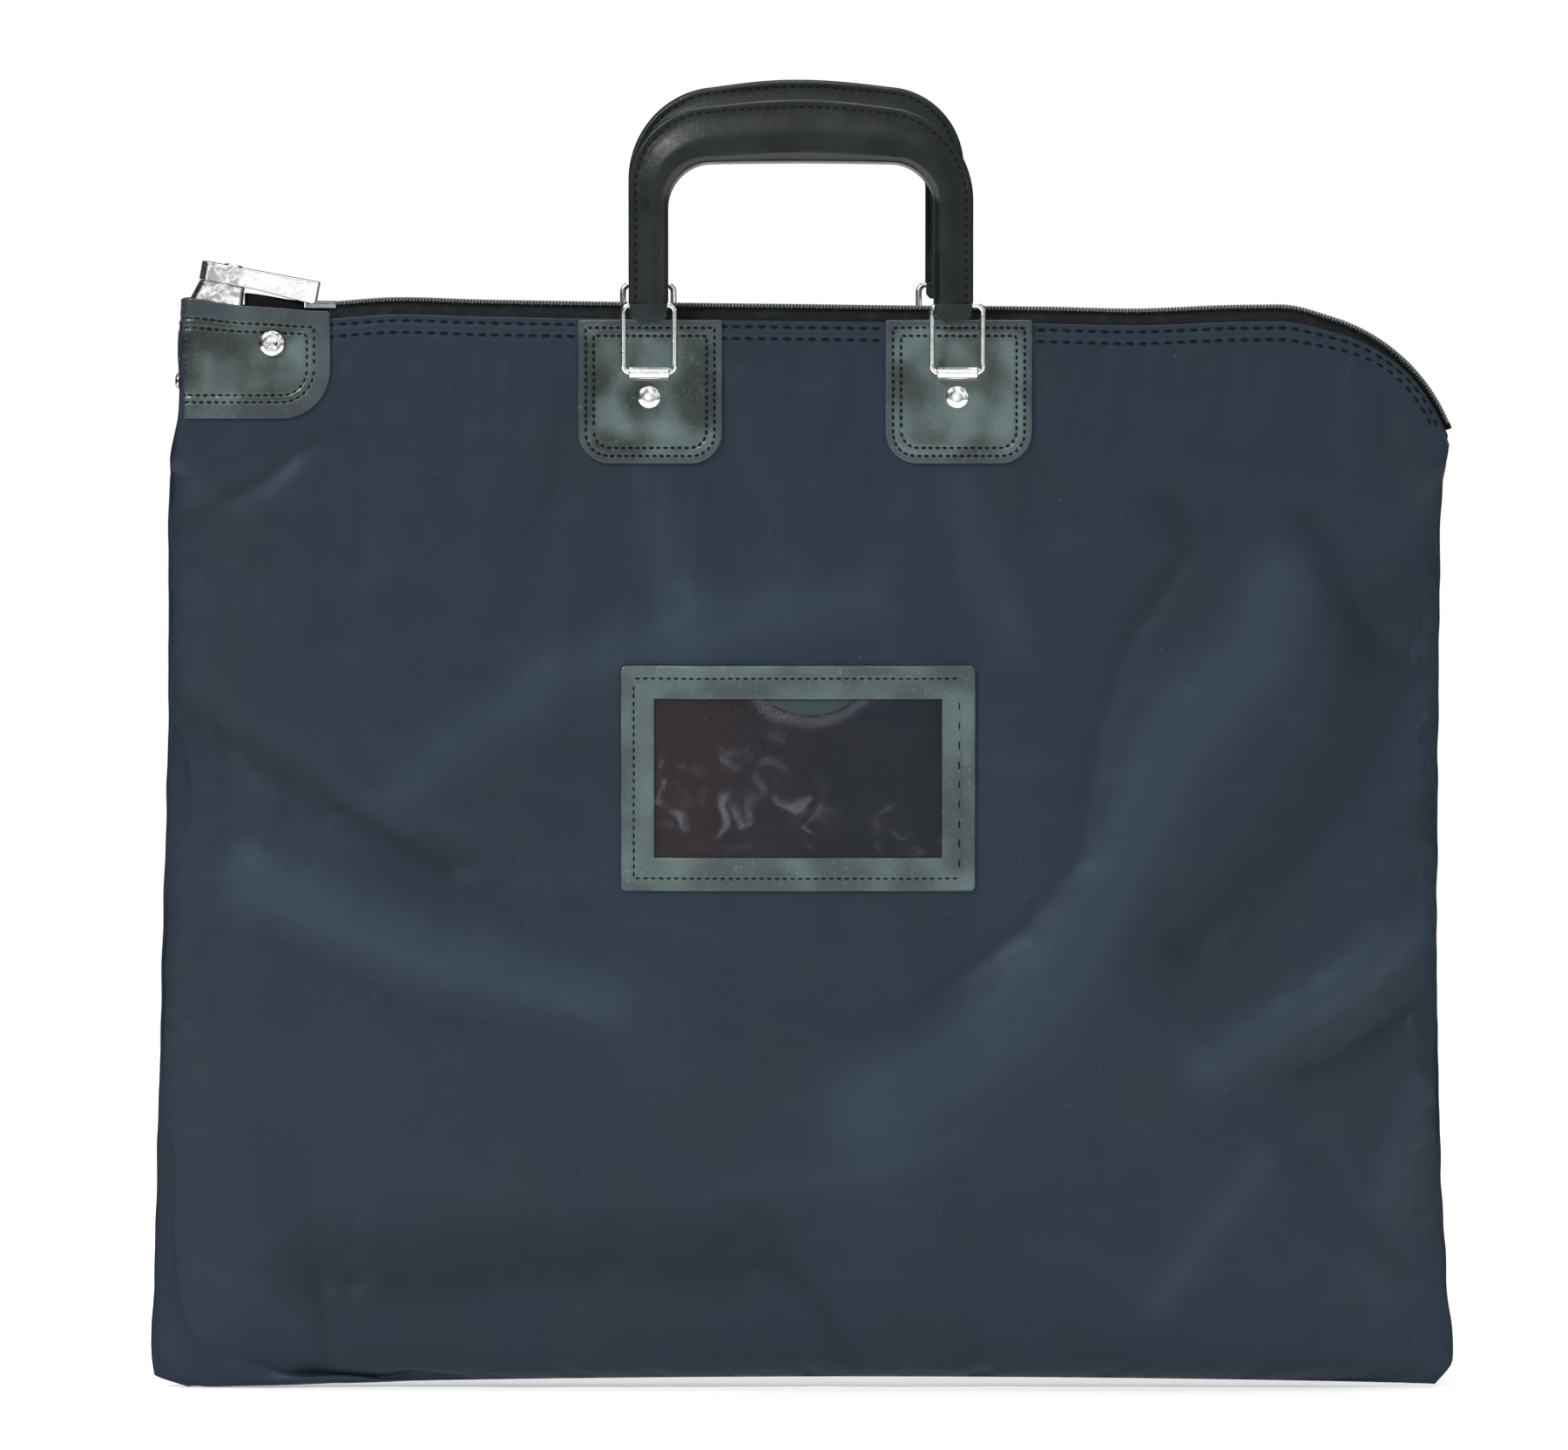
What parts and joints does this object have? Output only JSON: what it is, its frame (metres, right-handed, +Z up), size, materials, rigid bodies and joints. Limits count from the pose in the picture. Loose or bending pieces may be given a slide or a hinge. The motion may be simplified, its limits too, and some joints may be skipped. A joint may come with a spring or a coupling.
{
  "type": "locking cash deposit bag",
  "caption": "Flat zipped courier bag of coated nylon with a pop-up key lock at the end of the zipper, a card window and swinging handles hung from wire rings.",
  "frame": {"origin": "bottom centre of the bag's bounding box, on the lower edge of the bottom seam", "axes": "+X along the zipper, away from the lock; -Y out of the front face, which has the card window; +Z up towards the handles"},
  "size_m": [0.508, 0.0406, 0.5071],
  "materials": {
    "nylon": "dark slate navy coated nylon, matt, fine plain weave",
    "vinyl": "black vinyl with a fine leather grain, soft sheen",
    "window_vinyl": "dark grey-green vinyl, satin",
    "clear_vinyl": "clear flexible vinyl, a little cloudy",
    "card_backing": "dark maroon backing cloth",
    "zipper_tape": "black woven tape",
    "zipper_teeth": "black nylon coil",
    "leatherette": "black-olive leatherette, rolled glossy inner edge",
    "end_cap": "glossy black",
    "handle_core": "stiff moulded filler, hidden",
    "bright_metal": "bright nickel plate",
    "plated_steel": "plain plated steel",
    "brass": "machined brass"
  },
  "bodies": {
    "bag": {"front_panel": "nylon", "rear_panel": "nylon", "corner_patch": "vinyl", "window_frame": "window_vinyl", "window_pane": "clear_vinyl", "window_backing": "card_backing", "zipper_tape_front": "zipper_tape", "zipper_tape_rear": "zipper_tape", "zipper_teeth_front": "zipper_teeth", "zipper_teeth_rear": "zipper_teeth", "zipper_end_stop": "bright_metal", "lock_housing": "bright_metal", "lock_rivet": "bright_metal", "end_rivet": "bright_metal", "tab_front_left": "vinyl", "tab_front_right": "vinyl", "tab_rear_left": "vinyl", "tab_rear_right": "vinyl", "clip_front_left": "bright_metal", "clip_front_right": "bright_metal", "clip_rear_left": "bright_metal", "clip_rear_right": "bright_metal", "rivet_front_left": "bright_metal", "rivet_front_right": "bright_metal", "rivet_rear_left": "bright_metal", "rivet_rear_right": "bright_metal", "rivet_washer_front_left": "plated_steel", "rivet_washer_front_right": "plated_steel", "rivet_washer_rear_left": "plated_steel", "rivet_washer_rear_right": "plated_steel"},
    "front_ring_left": {"ring_front_left": "bright_metal"},
    "front_ring_right": {"ring_front_right": "bright_metal"},
    "rear_ring_left": {"ring_rear_left": "bright_metal"},
    "rear_ring_right": {"ring_rear_right": "bright_metal"},
    "front_handle": {"handle_front_cover": "leatherette", "handle_front_core": "handle_core", "handle_front_end_cap_left": "end_cap", "handle_front_end_cap_right": "end_cap"},
    "rear_handle": {"handle_rear_cover": "leatherette", "handle_rear_core": "handle_core", "handle_rear_end_cap_left": "end_cap", "handle_rear_end_cap_right": "end_cap"},
    "slider": {"zipper_slider": "bright_metal", "arm_pin": "bright_metal"},
    "lock_arm": {"lock_arm": "bright_metal"},
    "pop_up_barrel": {"lock_barrel": "bright_metal", "lock_spring": "plated_steel"},
    "key_plug": {"key_plug": "brass"}
  },
  "joints": [
    {"name": "front_ring_left_swing", "type": "hinge", "parent": "bag", "child": "front_ring_left", "pos_m": [-0.0594, -0.0116, 0.395], "axis": [1, 0, 0], "range_deg": [-3, 140]},
    {"name": "front_ring_right_swing", "type": "hinge", "parent": "bag", "child": "front_ring_right", "pos_m": [0.0594, -0.0116, 0.395], "axis": [1, 0, 0], "range_deg": [-3, 140]},
    {"name": "front_handle_swing", "type": "hinge", "parent": "front_ring_left", "child": "front_handle", "pos_m": [-0.0594, -0.01481, 0.4211], "axis": [1, 0, 0], "range_deg": [-2, 38]},
    {"name": "rear_ring_left_swing", "type": "hinge", "parent": "bag", "child": "rear_ring_left", "pos_m": [-0.0617, 0.0116, 0.402], "axis": [-1, 0, 0], "range_deg": [-3, 140]},
    {"name": "rear_ring_right_swing", "type": "hinge", "parent": "bag", "child": "rear_ring_right", "pos_m": [0.0571, 0.0116, 0.402], "axis": [-1, 0, 0], "range_deg": [-3, 140]},
    {"name": "rear_handle_swing", "type": "hinge", "parent": "rear_ring_left", "child": "rear_handle", "pos_m": [-0.0617, 0.01481, 0.4281], "axis": [-1, 0, 0], "range_deg": [-2, 38]},
    {"name": "zipper_slide", "type": "slide", "parent": "bag", "child": "slider", "axis": [1, 0, 0], "range_m": [0, 0.35], "deforming": ["zipper_teeth_front", "zipper_teeth_rear"]},
    {"name": "arm_lift", "type": "hinge", "parent": "slider", "child": "lock_arm", "pos_m": [-0.1895, 0, 0.4246], "axis": [0, 1, 0], "range_deg": [0, 60]},
    {"name": "barrel_pop_up", "type": "slide", "parent": "lock_arm", "child": "pop_up_barrel", "axis": [0.1822, 0, 0.9833], "range_m": [0, 0.0045], "deforming": ["lock_spring"]},
    {"name": "key_turn", "type": "hinge", "parent": "pop_up_barrel", "child": "key_plug", "pos_m": [-0.21987, 0, 0.43633], "axis": [0.1822, 0, 0.9833], "range_deg": [0, 90]}
  ],
  "couplings": [
    {"joint": "front_ring_right_swing", "follows": "front_ring_left_swing", "ratio": 1},
    {"joint": "rear_ring_right_swing", "follows": "rear_ring_left_swing", "ratio": 1}
  ]
}
